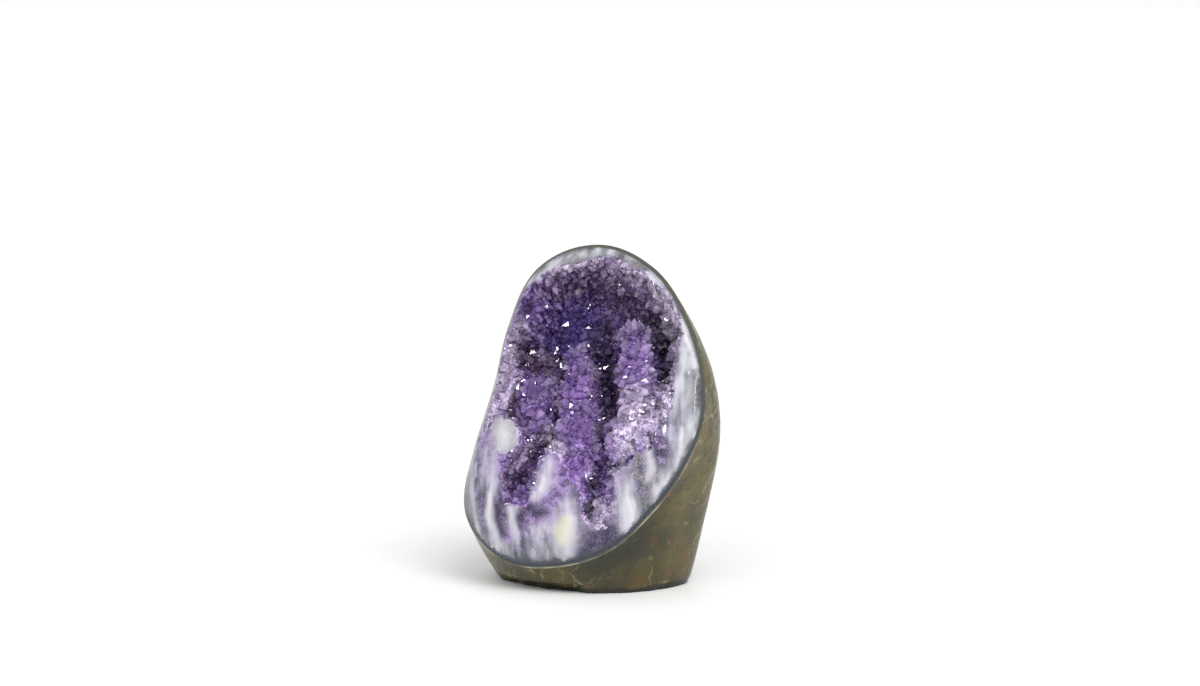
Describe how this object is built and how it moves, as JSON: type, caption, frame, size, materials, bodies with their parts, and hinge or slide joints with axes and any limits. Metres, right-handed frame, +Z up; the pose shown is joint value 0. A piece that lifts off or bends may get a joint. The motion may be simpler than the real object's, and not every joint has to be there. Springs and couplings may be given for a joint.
{
  "type": "amethyst geode",
  "caption": "Small freestanding amethyst geode with a leaning polished face, a crystal-lined hollow and a flat sawn base.",
  "frame": {"origin": "centre of the footprint of the bounding box, on the ground", "axes": "+Z up, the tall way; the polished face looks along -Y and leans back; +X to the right of a viewer facing it"},
  "size_m": [0.0888, 0.0708, 0.119],
  "materials": {
    "basalt_rind": "ground and polished olive grey-brown basalt",
    "agate_lining": "polished white and grey agate with vertical streaks",
    "amethyst_crystals": "natural purple quartz points, glassy"
  },
  "bodies": {
    "root": {"basalt_rind": "basalt_rind", "agate_lining": "agate_lining", "amethyst_crystals": "amethyst_crystals"}
  },
  "joints": []
}
